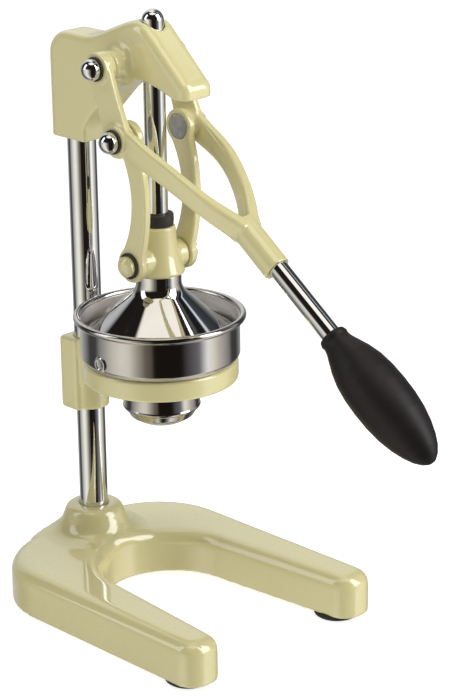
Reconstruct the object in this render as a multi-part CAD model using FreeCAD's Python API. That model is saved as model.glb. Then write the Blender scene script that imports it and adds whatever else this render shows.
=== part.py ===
import FreeCAD, Part
import math
import os

# Citrus press juicer, in millimetres. +Z is up, the handle points to the front (-Y), and
# the object is mirror-symmetric about X = 0 but for the lower caps on the right-hand ends
# of the axle and the crank pins. Everything is laid out from the post's axis (X = 0,
# Y = 0) and the floor (Z = 0), and "forward" means a distance towards -Y.
# At the end the whole model is moved so that its bounding box is centred on the origin.

V = FreeCAD.Vector
X_AXIS, Y_AXIS, Z_AXIS = V(1, 0, 0), V(0, 1, 0), V(0, 0, 1)
SIDES = (("left", -1), ("right", 1))

# ---- driving dimensions -----------------------------------------------------
FIT = 0.05                  # radial clearance of pins, shafts and bushes

POST_R = 11.0
POST_BOTTOM, POST_TOP = 22.0, 432.0

ROD_R = 8.1
ROD_FWD = 82.5              # from the post's axis to the rod's and the bowl's
ROD_TOP = 465.3

BASE_BOTTOM = 4.0           # underside of the casting, which stands on its feet
BASE_TOP = 37.5
BASE_HALF = 97.0            # outer half-width
BASE_REAR = 29.0            # how far the base reaches behind the post
BASE_CORNER_R = 66.0
LEG_FRONT = 214.0
LEG_INNER_FRONT = 62.5      # half-width of the gap between the legs at their ends
ARCH_R = 52.0               # rear end of that gap
ARCH_FWD = 88.0
LEG_NOSE_R = 15.0
BASE_EDGE_R = 11.0
BASE_WALL, BASE_ROOF = 6.0, 10.0
PILLAR_R, PILLAR_BOTTOM = 20.0, 12.0  # solid metal under the post
BOSS_TOP = 60.5
BOSS_R = 18.5
# the boss's side, as radii and heights; the last point lies inside the slab
BOSS_SIDE = ((22.0, 57.5), (23.8, 53.0), (26.0, 47.4), (30.0, 42.3), (37.5, 38.9), (52.0, 33.5))
BOSS_RIDGE_R = 10.0         # where the boss meets the arch's wall

POST_BOLT_R, POST_BOLT_END = 5.0, 46.0
BOLT_HEAD_R, BOLT_HEAD_Z, BOLT_HEAD_T = 8.0, 4.6, 5.6
POST_WASHER_T = 1.8

FOOT_R = 17.4
FOOT_PLACES = (("front", 190.5, 78.0), ("rear", 12.0, 69.0))
FOOT_PAD_R = 13.4           # solid metal over each foot
FOOT_SCREW_R, FOOT_SCREW_END = 2.0, 16.0
SCREW_HEAD_R, SCREW_HEAD_Z, SCREW_HEAD_TOP = 4.8, 0.8, 2.2

HEAD_BOTTOM, HEAD_TOP = 358.5, 439.2
HEAD_REAR = 19.0            # how far the sleeve reaches behind the post's axis
HEAD_HALF = 15.5            # half-width of the sleeve and the arm's root
NOSE_HALF = 14.6            # half-width of the arm's front end
TAPER_START, TAPER_END = 40.0, 150.0
HEAD_CORNER_R = 18.0
HEAD_EDGE_R = 7.0
BUSH_R = 10.2               # guide bush
BUSH_BOTTOM, BUSH_TOP = 417.5, 446.0
AXLE_BUSH_R, AXLE_BUSH_IN = 8.5, 18.0
HOLLOW = 0.5                # radial clearance of the cored holes round the rod and the axle
GRUB_R, GRUB_SOCKET_R, GRUB_SOCKET_DEPTH = 3.0, 1.7, 2.5
GRUB_HEIGHTS = (375.0, 412.0)         # in the head's sleeve
BRACKET_GRUB_Z = 160.0

PIVOT_FWD, PIVOT_Z = 63.8, 425.0      # lever axle
CRANK_FWD, CRANK_Z = 82.5, 375.0      # crank pins, upper ends of the links
HUB_PIN_Z = 279.4                     # lower ends of the links, on the rod's line

AXLE_R = 6.5
EYE_R = 11.7
EYE_IN = 29.2
ARM_IN, ARM_OUT = 31.0, 38.6          # the yoke's crank bosses
WEB_IN, WEB_OUT, WEB_HALF = 32.4, 37.8, 11.4      # the plate between an eye and a crank boss
BOSS_END = EYE_IN - 0.4               # outer end of the head's pivot boss and its bush
LINK_IN, LINK_OUT = 22.0, 28.5
LINK_EYE_R = 13.0
LINK_PIN_R = 6.0
CRANK_PIN_R, CRANK_STUD_R = 9.5, 6.0
CRANK_PAD_R = 11.6
CAP_NUT_R = 7.9
CAP_NUT_HEIGHTS = {"left": (4.0, 9.8), "right": (1.5, 4.2)}     # straight part, whole
WASHER_R = 8.9
WASHER_T = 1.8
RING_R, RING_T = 9.8, 1.8             # rubber ring under a link's cap
LINK_CAP_R, LINK_CAP_STRAIGHT, LINK_CAP_H = 7.8, 3.2, 6.4
LINK_PIN_END = LINK_OUT + 5.5
STUD_END = {"left": 46.0, "right": 43.8}                  # of the axle and the crank pins
EYE_FACE, PAD_FACE = ARM_OUT + 0.6, ARM_OUT + 2.2     # under the washers

HANDLE_TILT = 36.15                   # degrees below the horizontal
HANDLE_FWD, HANDLE_Z = 200.0, 303.5   # a point of the tube's axis
TUBE_R = 7.15
TUBE_WALL = 1.5
TUBE_START, TUBE_END = -28.0, 165.0   # along the axis, from that point
SOCKET_R = 10.2
SOCKET_DROP = 1.5                     # the socket's axis runs below the tube's
SOCKET_START, SOCKET_END = -36.0, 9.0
PIN_R, PIN_ALONG = 1.5, -12.0         # spring pin that holds the tube in the socket
GRIP_START, GRIP_END = 73.5, 189.5

SEAT_TOP, SEAT_BOTTOM = 202.0, 186.0  # the bracket's ring
SEAT_R, SEAT_BORE = 58.5, 50.0
SLEEVE_R, SLEEVE_BOTTOM = 14.6, 141.0
BLOCK_HALF, BLOCK_FRONT, BLOCK_REAR = 16.5, 4.5, -17.0      # square block on the post

BOWL_R = 59.9
BOWL_TOP = 235.2            # centre of the rolled rim
BOWL_WALL = 1.0
RIM_ROLL_R = 2.6
BOWL_SEAT = 202.1           # the bowl's shoulder, on the bracket's ring
BOWL_NECK_R = 49.4
SPOUT_R = 29.0
SPOUT_TOP, SPOUT_EDGE, SPOUT_BOTTOM = 182.0, 164.0, 151.3
OUTLET_R = 8.0
STUD_R, STUD_Z = 6.2, 210.8           # dished rivets on the bowl's two sides
STUD_SHANK_R = 2.0
SLOTS, SLOT_WIDTH, SLOT_START = 16, 2.4, 16.0         # of the strainer

BELL_NECK_R = 16.9
BELL_TOP = 268.3
BELL_RIM_R, BELL_RIM_Z = 56.0, 221.2
BELL_WALL, BELL_CROWN = 1.6, 1.9
ROD_NECK_R, ROD_BOTTOM = 6.0, 240.0   # the rod's thinner end, through the bell's crown
BELL_WASHER_R, BELL_WASHER_T = 13.0, 1.8
BELL_NUT_R, BELL_NUT_T = 9.5, 8.0

HUB_BOTTOM, HUB_TOP = 268.3, 305.0
HUB_SIDE = ((13.2, 304.0), (13.8, 296.0), (15.2, 286.0), (17.4, 277.0), (19.6, 271.0))
HUB_BOSS_R, HUB_BOSS_HALF = 11.0, 21.5
BUFFER_TOP = 314.0
BUFFER_R = 12.2


# ---- helpers ----------------------------------------------------------------
def at(x, forward, z):
    return V(x, -forward, z)


def upright(radius, bottom, top, forward=0.0, x=0.0):
    return Part.makeCylinder(radius, top - bottom, at(x, forward, bottom), Z_AXIS)


def crosswise(radius, x0, x1, forward, z):
    return Part.makeCylinder(radius, x1 - x0, at(x0, forward, z), X_AXIS)


def dome(x0, radius, straight, height, forward, z):
    """A round cap along X: a short cylinder closed by a part of a sphere."""
    rise = height - straight
    ball = (radius ** 2 + rise ** 2) / (2 * rise)
    centre = x0 + height - ball
    half = math.asin(radius / ball) / 2
    axis0, axis1 = at(x0, forward, z), at(x0 + height, forward, z)
    rim, shoulder = at(x0, forward, z + radius), at(x0 + straight, forward, z + radius)
    bend = at(centre + ball * math.cos(half), forward, z + ball * math.sin(half))
    edges = [line(axis0, rim), line(rim, shoulder), arc(shoulder, bend, axis1), line(axis1, axis0)]
    return Part.Face(Part.Wire(edges)).revolve(axis0, X_AXIS, 360)


def outline(points):
    return Part.Wire(Part.makePolygon(points + [points[0]]))


def hexagon(radius, centre, across, up):
    """Six corners round a centre, in the plane of two unit vectors."""
    turns = [k * math.pi / 3 for k in range(6)]
    return outline([centre + across * (radius * math.cos(t)) + up * (radius * math.sin(t)) for t in turns])


def turned(profile, forward=0.0):
    """Closed solid turned about an upright axis from (radius, height) points."""
    wire = outline([at(r, forward, z) for r, z in profile])
    return Part.Face(wire).revolve(at(0, forward, 0), Z_AXIS, 360)


def turned_curve(edges, forward=0.0):
    return Part.Face(Part.Wire(edges)).revolve(at(0, forward, 0), Z_AXIS, 360)


def line(a, b):
    return Part.LineSegment(a, b).toShape()


def arc(a, middle, b):
    return Part.Arc(a, middle, b).toShape()


def quarter_arc(centre, radius):
    """From straight above the centre round to its +X side."""
    c = radius * math.sqrt(0.5)
    return arc(centre + V(0, 0, radius), centre + V(c, 0, c), centre + V(radius, 0, 0))


def spline(points):
    curve = Part.BSplineCurve()
    curve.interpolate(points)
    return curve.toShape()


def plate(edges, x0, x1):
    """A flat plate between two planes of constant X, from its outline at x0."""
    return Part.Face(Part.Wire(edges)).extrude(V(x1 - x0, 0, 0))


def mirrored(shape, side):
    """The right-hand shape itself, or its mirror image for the left side."""
    return shape if side > 0 else shape.mirror(V(0, 0, 0), X_AXIS)


def middle(edge):
    return edge.valueAt((edge.FirstParameter + edge.LastParameter) / 2)


def rounded(shape, radius, wanted):
    edges = [edge for edge in shape.Edges if wanted(edge)]
    return shape.makeFillet(radius, edges)


def joined(shapes):
    return shapes[0].multiFuse(shapes[1:]).removeSplitter()


# ---- base -------------------------------------------------------------------
def base_outline(z, inset=0.0):
    """The U seen from above: rear edge, round corners, two legs and the arch between them."""
    half, rear, front = BASE_HALF - inset, BASE_REAR - inset, LEG_FRONT - inset
    corner, inner = BASE_CORNER_R - inset, LEG_INNER_FRONT + inset
    arch, nose = ARCH_R + inset, LEG_NOSE_R - inset
    cut = math.sqrt(0.5)
    edges = []
    for s in (1, -1):
        rear_end = at(s * (half - corner), -rear, z)
        corner_mid = at(s * (half - corner + corner * cut), corner - rear - corner * cut, z)
        corner_end = at(s * half, corner - rear, z)
        nose_out = at(s * half, front - nose, z)
        nose_mid_out = at(s * (half - nose + nose * cut), front - nose + nose * cut, z)
        nose_front_out = at(s * (half - nose), front, z)
        nose_front_in = at(s * (inner + nose), front, z)
        nose_mid_in = at(s * (inner + nose - nose * cut), front - nose + nose * cut, z)
        nose_in = at(s * inner, front - nose, z)
        arch_end = at(s * arch, ARCH_FWD, z)
        edges += [arc(rear_end, corner_mid, corner_end), line(corner_end, nose_out),
                  arc(nose_out, nose_mid_out, nose_front_out),
                  line(nose_front_out, nose_front_in),
                  arc(nose_front_in, nose_mid_in, nose_in), line(nose_in, arch_end)]
    edges.append(line(at(half - corner, -rear, z), at(corner - half, -rear, z)))
    edges.append(arc(at(-arch, ARCH_FWD, z), at(0, ARCH_FWD - arch, z), at(arch, ARCH_FWD, z)))
    return Part.Wire(Part.__sortEdges__(edges))


def boss():
    """The flare round the post, cut off along the base's outline."""
    foot_r, foot_z = BOSS_SIDE[-1]
    low = BASE_BOTTOM + 1
    side = [at(r, 0, z) for r, z in BOSS_SIDE]
    flare = [line(at(0, 0, low), at(0, 0, BOSS_TOP)), line(at(0, 0, BOSS_TOP), at(BOSS_R - 4, 0, BOSS_TOP)),
             arc(at(BOSS_R - 4, 0, BOSS_TOP), at(BOSS_R, 0, BOSS_TOP - 0.7), side[0]), spline(side),
             line(side[-1], at(foot_r, 0, low)), line(at(foot_r, 0, low), at(0, 0, low))]
    prism = Part.Face(base_outline(BASE_BOTTOM)).extrude(V(0, 0, BOSS_TOP))
    shape = turned_curve(flare).common(prism)
    return rounded(shape, BOSS_RIDGE_R, lambda e: middle(e).z > foot_z
                   and abs(middle(e).sub(at(0, ARCH_FWD, middle(e).z)).Length - ARCH_R) < 0.5)


def base_casting():
    slab = Part.Face(base_outline(BASE_BOTTOM)).extrude(V(0, 0, BASE_TOP - BASE_BOTTOM))
    slab = rounded(slab, BASE_EDGE_R, lambda e: e.BoundBox.ZMin > BASE_TOP - 0.1)
    pocket = Part.Face(base_outline(BASE_BOTTOM, BASE_WALL)).extrude(
        V(0, 0, BASE_TOP - BASE_ROOF - BASE_BOTTOM))
    pocket = pocket.cut(upright(PILLAR_R, PILLAR_BOTTOM, BOSS_TOP))
    for forward, x in foot_places():
        pocket = pocket.cut(upright(FOOT_PAD_R, 0, BOSS_TOP, forward, x))
    body = slab.fuse(boss()).cut(pocket)
    body = body.cut(upright(POST_R + FIT, POST_BOTTOM, BOSS_TOP + 5))
    body = body.cut(upright(POST_BOLT_R + 0.2, BASE_BOTTOM, POST_BOTTOM + 1))
    for forward, x in foot_places():
        body = body.cut(upright(FOOT_SCREW_R + 0.1, 0, FOOT_SCREW_END + 1, forward, x))
    return body


def foot_places():
    return [(forward, s * half) for _, forward, half in FOOT_PLACES for _, s in SIDES]


def foot(forward, x):
    disc = upright(FOOT_R, 0, BASE_BOTTOM, forward, x)
    disc = rounded(disc, 0.8, lambda e: e.BoundBox.ZMax < 0.1 and e.Curve.TypeId == "Part::GeomCircle")
    disc = disc.cut(upright(SCREW_HEAD_R + 0.4, -1, SCREW_HEAD_TOP, forward, x))
    return disc.cut(upright(FOOT_SCREW_R + 0.2, 0, BASE_BOTTOM + 1, forward, x))


def foot_screw(forward, x):
    head = upright(SCREW_HEAD_R, SCREW_HEAD_Z, SCREW_HEAD_TOP, forward, x)
    return head.fuse(upright(FOOT_SCREW_R, SCREW_HEAD_Z + 0.2, FOOT_SCREW_END, forward, x))


def post():
    bar = upright(POST_R, POST_BOTTOM, POST_TOP)
    bar = bar.makeChamfer(1.0, [e for e in bar.Edges if e.Curve.TypeId == "Part::GeomCircle"])
    return bar.cut(upright(POST_BOLT_R + FIT, POST_BOTTOM - 1, POST_BOLT_END + 2))


def post_bolt():
    corners = hexagon(BOLT_HEAD_R, at(0, 0, BOLT_HEAD_Z), X_AXIS, Y_AXIS)
    head = Part.Face(corners).extrude(V(0, 0, BOLT_HEAD_T))
    return head.fuse(upright(POST_BOLT_R, BOLT_HEAD_Z + BOLT_HEAD_T - 1, POST_BOLT_END))


def post_washer():
    disc = upright(POST_R, PILLAR_BOTTOM - POST_WASHER_T, PILLAR_BOTTOM)
    return disc.cut(upright(POST_BOLT_R + 0.2, BASE_BOTTOM, PILLAR_BOTTOM + 1))


# ---- head casting -----------------------------------------------------------
def head_profile(x):
    """Side outline: sleeve round the post, arched arm, and the nose past the rod."""
    back, top, corner = -HEAD_REAR, HEAD_TOP, HEAD_CORNER_R
    corners = {name: at(x, f, z) for name, (f, z) in {
        "foot_back": (back, HEAD_BOTTOM), "back_top": (back, top - corner),
        "top_back": (back + corner, top),
        "top_mid": (17, top), "crown": (79, 457.4), "crown_end": (91, 451.9),
        "brow": (125.9, 419.6), "brow_end": (130.0, 413.0), "chin": (130.0, 406.5),
        "jaw": (117.5, 406.5), "arch_front": (103.0, 411.5), "arch_top": (84.0, 415.8),
        "arch_back": (58.0, 407.3), "throat": (36.0, 388.0), "throat_low": (26.5, 378.0),
        "foot_front": (20.8, 368.5), "foot_low": (20.8, HEAD_BOTTOM)}.items()}
    cut = corner * (1 - math.sqrt(0.5))
    bend = at(x, back + cut, top - cut)
    c = corners
    return [line(c["foot_back"], c["back_top"]),
            arc(c["back_top"], bend, c["top_back"]), line(c["top_back"], c["top_mid"]),
            spline([c["top_mid"], at(x, 27, 440.4), at(x, 38, 444.0), at(x, 50, 448.8),
                    at(x, 62, 453.6), c["crown"], c["crown_end"]]),
            line(c["crown_end"], c["brow"]),
            arc(c["brow"], at(x, 129.0, 416.5), c["brow_end"]), line(c["brow_end"], c["chin"]),
            line(c["chin"], c["jaw"]),
            spline([c["jaw"], c["arch_front"], c["arch_top"], c["arch_back"], c["throat"],
                    c["throat_low"], c["foot_front"]]),
            line(c["foot_front"], c["foot_low"]), line(c["foot_low"], c["foot_back"])]


def head_plan():
    """The head seen from above: a square sleeve, narrowing smoothly to the nose."""
    rear, z = -HEAD_REAR - 20, HEAD_BOTTOM
    edges = [line(at(-HEAD_HALF, rear, z), at(HEAD_HALF, rear, z)),
             line(at(-NOSE_HALF, TAPER_END, z), at(NOSE_HALF, TAPER_END, z))]
    for _, s in SIDES:
        taper = [at(s * (HEAD_HALF - (HEAD_HALF - NOSE_HALF) * t * t * (3 - 2 * t)),
                    TAPER_START + (TAPER_END - TAPER_START) * t, z) for t in (0, 0.25, 0.5, 0.75, 1)]
        edges += [line(at(s * HEAD_HALF, rear, z), taper[0]), spline(taper)]
    return Part.Wire(Part.__sortEdges__(edges))


def on_top_or_rear(edge):
    """True for the side faces' edges along the rear, the top and the nose."""
    forward, x, z = -middle(edge).y, abs(middle(edge).x), middle(edge).z
    if x < NOSE_HALF - 1 or edge.BoundBox.XLength > 8:
        return False
    return forward < -10 or z > HEAD_TOP - 1 or (forward > 92 and z > 408)


def head_casting():
    body = plate(head_profile(-HEAD_HALF - 1), -HEAD_HALF - 1, HEAD_HALF + 1)
    body = body.common(Part.Face(head_plan()).extrude(V(0, 0, 200)))
    body = rounded(body, HEAD_EDGE_R, on_top_or_rear)
    for _, s in SIDES:
        body = body.fuse(mirrored(pivot_boss(), s))
    body = body.removeSplitter()
    body = body.cut(upright(POST_R + FIT, HEAD_BOTTOM - 1, POST_TOP))
    body = body.cut(upright(ROD_R + HOLLOW, HEAD_BOTTOM, ROD_TOP, ROD_FWD))
    body = body.cut(upright(BUSH_R, HEAD_BOTTOM, BUSH_TOP, ROD_FWD))
    body = body.cut(crosswise(AXLE_R + HOLLOW, -ARM_IN, ARM_IN, PIVOT_FWD, PIVOT_Z))
    for _, s in SIDES:
        body = body.cut(mirrored(crosswise(AXLE_BUSH_R, AXLE_BUSH_IN, ARM_IN, PIVOT_FWD, PIVOT_Z), s))
    for z in GRUB_HEIGHTS:
        body = body.cut(grub_hole(z))
    return body


def pivot_boss():
    """Round boss for the lever's axle, flaring into the head's side."""
    r, root = EYE_R - 0.7, EYE_R + 5.0
    start, face, end = HEAD_HALF - 3, HEAD_HALF, BOSS_END
    sweep = 6.5                                 # length of the flare
    cut = 1 - math.sqrt(0.5)

    def point(x, radius):
        return at(x, PIVOT_FWD, PIVOT_Z + radius)
    bend = point(face + sweep * cut, r + (root - r) * cut)
    edges = [line(point(start, 0), point(start, root)), line(point(start, root), point(face, root)),
             arc(point(face, root), bend, point(face + sweep, r)),
             line(point(face + sweep, r), point(end, r)), line(point(end, r), point(end, 0)),
             line(point(end, 0), point(start, 0))]
    return Part.Face(Part.Wire(edges)).revolve(point(0, 0), X_AXIS, 360)


def grub_hole(z):
    """Radial hole through a sleeve's rear wall to the post."""
    return Part.makeCylinder(GRUB_R, HEAD_REAR, at(0, 3 - POST_R, z), Y_AXIS)


def guide_bush():
    bush = upright(BUSH_R, BUSH_BOTTOM, BUSH_TOP, ROD_FWD)
    return bush.cut(upright(ROD_R + FIT, BUSH_BOTTOM - 1, BUSH_TOP + 1, ROD_FWD))


def axle_bush():
    bush = crosswise(AXLE_BUSH_R, AXLE_BUSH_IN, BOSS_END, PIVOT_FWD, PIVOT_Z)
    return bush.cut(crosswise(AXLE_R + FIT, 0, ARM_IN, PIVOT_FWD, PIVOT_Z))


def grub_screw(z, length):
    """Set screw against the post's rear, with a hexagon socket."""
    screw = Part.makeCylinder(GRUB_R, length, at(0, -POST_R, z), Y_AXIS)
    mouth = at(0, GRUB_SOCKET_DEPTH - POST_R - length, z)
    socket = Part.Face(hexagon(GRUB_SOCKET_R, mouth, X_AXIS, Z_AXIS))
    return screw.cut(socket.extrude(Y_AXIS * (GRUB_SOCKET_DEPTH + 1)))


# ---- lever ------------------------------------------------------------------
TILT = math.radians(HANDLE_TILT)
ALONG = V(0, -math.cos(TILT), -math.sin(TILT))       # down the handle
ABOVE = V(0, -math.sin(TILT), math.cos(TILT))        # square to it, upwards
HANDLE_POINT = at(0, HANDLE_FWD, HANDLE_Z)


def on_handle(s, x=0.0, above=0.0):
    return HANDLE_POINT + ALONG * s + X_AXIS * x + ABOVE * above


def along_handle(radius, start, end, above=0.0):
    return Part.makeCylinder(radius, end - start, on_handle(start, 0, above), ALONG)


# One fork arm's centre line: along the handle, sideways, above the handle's axis,
# and the arm's height and thickness there.
ARM_PATH = ((-142.0, 34.8, -11.5, 22.5, 8.0), (-122.0, 34.6, -6.6, 19.6, 8.0),
            (-102.0, 32.8, -2.4, 17.6, 8.0), (-84.0, 29.0, -0.2, 16.6, 8.2),
            (-67.0, 23.6, 0.0, 16.2, 8.6), (-52.0, 17.2, -0.3, 16.4, 9.4),
            (-40.0, 10.4, -0.8, 17.2, 10.2), (-28.0, 4.6, -1.4, 18.0, 10.8))
# The grip's side: along the handle, and the radius there.
GRIP_SIDE = ((77.5, 10.4), (82, 11.3), (88, 13.4), (95, 16.2), (105, 19.2), (116, 20.8), (129, 21.4),
             (142, 21.1), (154, 19.8), (165, 17.3), (174, 14.2), (181, 10.8), (186, 7.0),
             (188.8, 3.4), (GRIP_END, 0))
SECTION_POINTS = 16
SECTION_POWER = 3.6         # of the superellipse: 2 is an ellipse, more is squarer


def squared(value):
    return math.copysign(abs(value) ** (2 / SECTION_POWER), value)


def arm_section(index):
    """The arm's section there: a rectangle with well rounded corners."""
    s, x, above, height, thickness = ARM_PATH[index]
    before = ARM_PATH[max(index - 1, 0)]
    after = ARM_PATH[min(index + 1, len(ARM_PATH) - 1)]
    slope = (after[1] - before[1]) / (after[0] - before[0])
    across = (X_AXIS - ALONG * slope).normalize()
    turns = [2 * math.pi * k / SECTION_POINTS for k in range(SECTION_POINTS)]
    curve = Part.BSplineCurve()
    curve.interpolate(Points=[on_handle(s, x, above) + across * (squared(math.cos(t)) * thickness / 2)
                              + ABOVE * (squared(math.sin(t)) * height / 2) for t in turns],
                      PeriodicFlag=True)
    return Part.Wire(curve.toShape())


def fork_arm():
    return Part.makeLoft([arm_section(k) for k in range(len(ARM_PATH))], True, False)


def crank_plate():
    """Side plate: the axle's eye, a thinner web, and the crank pin's boss with its raised pads."""
    dy, dz = CRANK_FWD - PIVOT_FWD, CRANK_Z - PIVOT_Z
    length = math.hypot(dy, dz)
    ny, nz = -dz / length, dy / length          # square to the plate's length
    mid_f, mid_z = (PIVOT_FWD + CRANK_FWD) / 2, (PIVOT_Z + CRANK_Z) / 2

    def beside(forward, z, distance):
        return at(WEB_IN, forward + ny * distance, z + nz * distance)
    top = [beside(PIVOT_FWD, PIVOT_Z, sign * EYE_R) for sign in (1, -1)]
    low = [beside(CRANK_FWD, CRANK_Z, sign * LINK_EYE_R) for sign in (1, -1)]
    sides = [spline([top[k], beside(mid_f, mid_z, sign * WEB_HALF), low[k]])
             for k, sign in enumerate((1, -1))]
    web = plate([sides[0], line(low[0], low[1]), sides[1], line(top[1], top[0])], WEB_IN, WEB_OUT)
    eye = crosswise(EYE_R, EYE_IN, EYE_FACE, PIVOT_FWD, PIVOT_Z)
    crank_boss = crosswise(LINK_EYE_R, ARM_IN, ARM_OUT, CRANK_FWD, CRANK_Z)
    pads = crosswise(CRANK_PAD_R, LINK_OUT + 0.5, PAD_FACE, CRANK_FWD, CRANK_Z)
    return joined([web, eye, crank_boss, pads])


def pin_hole(radius, start, end):
    """Square to the tube, from its underside."""
    return Part.makeCylinder(radius, end - start, on_handle(PIN_ALONG, 0, start), ABOVE)


def lever_yoke():
    parts = []
    for _, s in SIDES:
        parts += [mirrored(crank_plate(), s), mirrored(fork_arm(), s)]
    socket = along_handle(SOCKET_R, SOCKET_START, SOCKET_END, -SOCKET_DROP)
    socket = rounded(socket, 3.0, lambda e: (e.BoundBox.Center - on_handle(SOCKET_START)).Length < 8
                     and e.Curve.TypeId == "Part::GeomCircle")
    body = joined(parts + [socket])
    body = body.cut(along_handle(TUBE_R + FIT, TUBE_START, SOCKET_END + 5))
    body = body.cut(crosswise(AXLE_R + FIT, -PAD_FACE, PAD_FACE, PIVOT_FWD, PIVOT_Z))
    body = body.cut(crosswise(CRANK_STUD_R + FIT, -PAD_FACE, PAD_FACE, CRANK_FWD, CRANK_Z))
    return body.cut(pin_hole(PIN_R + FIT, -20, 0))


def handle_pin():
    return pin_hole(PIN_R, 0.4 - SOCKET_R - SOCKET_DROP, -4.5)


def handle_tube():
    tube = along_handle(TUBE_R, TUBE_START, TUBE_END)
    tube = tube.cut(along_handle(TUBE_R - TUBE_WALL, TUBE_START - 1, TUBE_END + 1))
    return tube.cut(pin_hole(PIN_R + FIT, -20, 0))


def handle_grip():
    side = [on_handle(s, 0, r) for s, r in GRIP_SIDE]
    mouth, shoulder = on_handle(GRIP_START, 0, GRIP_SIDE[0][1]), side[0]
    edges = [line(on_handle(GRIP_START), mouth), line(mouth, shoulder), spline(side),
             line(side[-1], on_handle(GRIP_START))]
    body = Part.Face(Part.Wire(edges)).revolve(HANDLE_POINT, ALONG, 360)
    return body.cut(along_handle(TUBE_R + FIT, GRIP_START - 1, TUBE_END + 0.5))


def lever_axle():
    return crosswise(AXLE_R, -STUD_END["left"], STUD_END["right"], PIVOT_FWD, PIVOT_Z)


def crank_pin(side_name):
    journal = crosswise(CRANK_PIN_R, LINK_IN, LINK_OUT + 0.5, CRANK_FWD, CRANK_Z)
    return journal.fuse(crosswise(CRANK_STUD_R, LINK_OUT, STUD_END[side_name], CRANK_FWD, CRANK_Z))


def washer(x0, bore, forward, z):
    ring = crosswise(WASHER_R, x0, x0 + WASHER_T, forward, z)
    return ring.cut(crosswise(bore + FIT, x0 - 1, x0 + WASHER_T + 1, forward, z))


def cap_nut(side_name, x0, bore, forward, z):
    nut = dome(x0, CAP_NUT_R, *CAP_NUT_HEIGHTS[side_name], forward, z)
    return nut.cut(crosswise(bore + FIT, x0 - 1, STUD_END[side_name], forward, z))


# ---- links ------------------------------------------------------------------
def link():
    """C-shaped side link that bulges to the front, with an eye at each end."""
    f, top, bottom, x = CRANK_FWD, CRANK_Z, HUB_PIN_Z, LINK_IN
    middle = (top + bottom) / 2
    rear_top, rear_low = at(x, f - 8.6, top - 9), at(x, f - 8.6, bottom + 9)
    front_top, front_low = at(x, f + 11.2, top - 5.8), at(x, f + 11.2, bottom + 5.8)
    web = plate([arc(rear_top, at(x, f + 2.8, middle), rear_low), line(rear_low, front_low),
                 arc(front_low, at(x, f + 18.0, middle), front_top), line(front_top, rear_top)],
                x, LINK_OUT)
    eyes = [crosswise(LINK_EYE_R, x, LINK_OUT, f, z) for z in (top, bottom)]
    body = joined([web] + eyes)
    body = rounded(body, 12.0, lambda e: e.BoundBox.XLength > 5
                   and abs(e.BoundBox.Center.z - middle) < 45)
    body = rounded(body, 1.5, lambda e: e.BoundBox.XLength < 0.01)
    body = body.cut(crosswise(CRANK_PIN_R + FIT, 0, ARM_OUT, f, top))
    return body.cut(crosswise(LINK_PIN_R + FIT, 0, ARM_OUT, f, bottom))


def link_pin():
    return crosswise(LINK_PIN_R, LINK_IN + 0.1, LINK_PIN_END, CRANK_FWD, HUB_PIN_Z)


def link_ring():
    ring = crosswise(RING_R, LINK_OUT, LINK_OUT + RING_T, CRANK_FWD, HUB_PIN_Z)
    return ring.cut(crosswise(LINK_PIN_R + FIT, LINK_IN, LINK_PIN_END, CRANK_FWD, HUB_PIN_Z))


def link_cap():
    x0 = LINK_OUT + RING_T
    cap = dome(x0, LINK_CAP_R, LINK_CAP_STRAIGHT, LINK_CAP_H, CRANK_FWD, HUB_PIN_Z)
    return cap.cut(crosswise(LINK_PIN_R + FIT, LINK_IN, LINK_PIN_END, CRANK_FWD, HUB_PIN_Z))


# ---- press head -------------------------------------------------------------
def press_hub():
    """Flared cone on the rod, with a boss for the links on each side and a flat underside."""
    f = ROD_FWD
    side = [at(r, f, z) for r, z in HUB_SIDE]
    lip, toe = at(HUB_SIDE[0][0] - 1, f, HUB_TOP), at(HUB_SIDE[-1][0] - 1.4, f, HUB_BOTTOM)
    edges = [line(at(0, f, HUB_BOTTOM), at(0, f, HUB_TOP)), line(at(0, f, HUB_TOP), lip),
             line(lip, side[0]), spline(side),
             arc(side[-1], at(HUB_SIDE[-1][0] - 0.2, f, HUB_BOTTOM + 0.9), toe),
             line(toe, at(0, f, HUB_BOTTOM))]
    body = turned_curve(edges, f)
    body = body.fuse(crosswise(HUB_BOSS_R, -HUB_BOSS_HALF, HUB_BOSS_HALF, f, HUB_PIN_Z))
    body = body.cut(Part.makeBox(60, 60, 3, at(-30, f + 30, HUB_BOTTOM - 3)))
    return body.cut(upright(ROD_R + FIT, HUB_BOTTOM - 1, HUB_TOP + 1, f))


def guide_rod():
    f, neck, top = ROD_FWD, ROD_NECK_R, ROD_TOP - ROD_R
    edges = [line(at(0, f, ROD_BOTTOM), at(0, f, ROD_TOP)), quarter_arc(at(0, f, top), ROD_R),
             line(at(ROD_R, f, top), at(ROD_R, f, BELL_TOP)),
             line(at(ROD_R, f, BELL_TOP), at(neck, f, BELL_TOP)),
             line(at(neck, f, BELL_TOP), at(neck, f, ROD_BOTTOM)),
             line(at(neck, f, ROD_BOTTOM), at(0, f, ROD_BOTTOM))]
    return turned_curve(edges, f)


def rubber_buffer():
    ring = upright(BUFFER_R, HUB_TOP, BUFFER_TOP, ROD_FWD)
    ring = rounded(ring, 0.8, lambda e: e.BoundBox.ZMin > BUFFER_TOP - 0.1)
    return ring.cut(upright(ROD_R + FIT, HUB_TOP - 1, BUFFER_TOP + 1, ROD_FWD))


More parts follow.
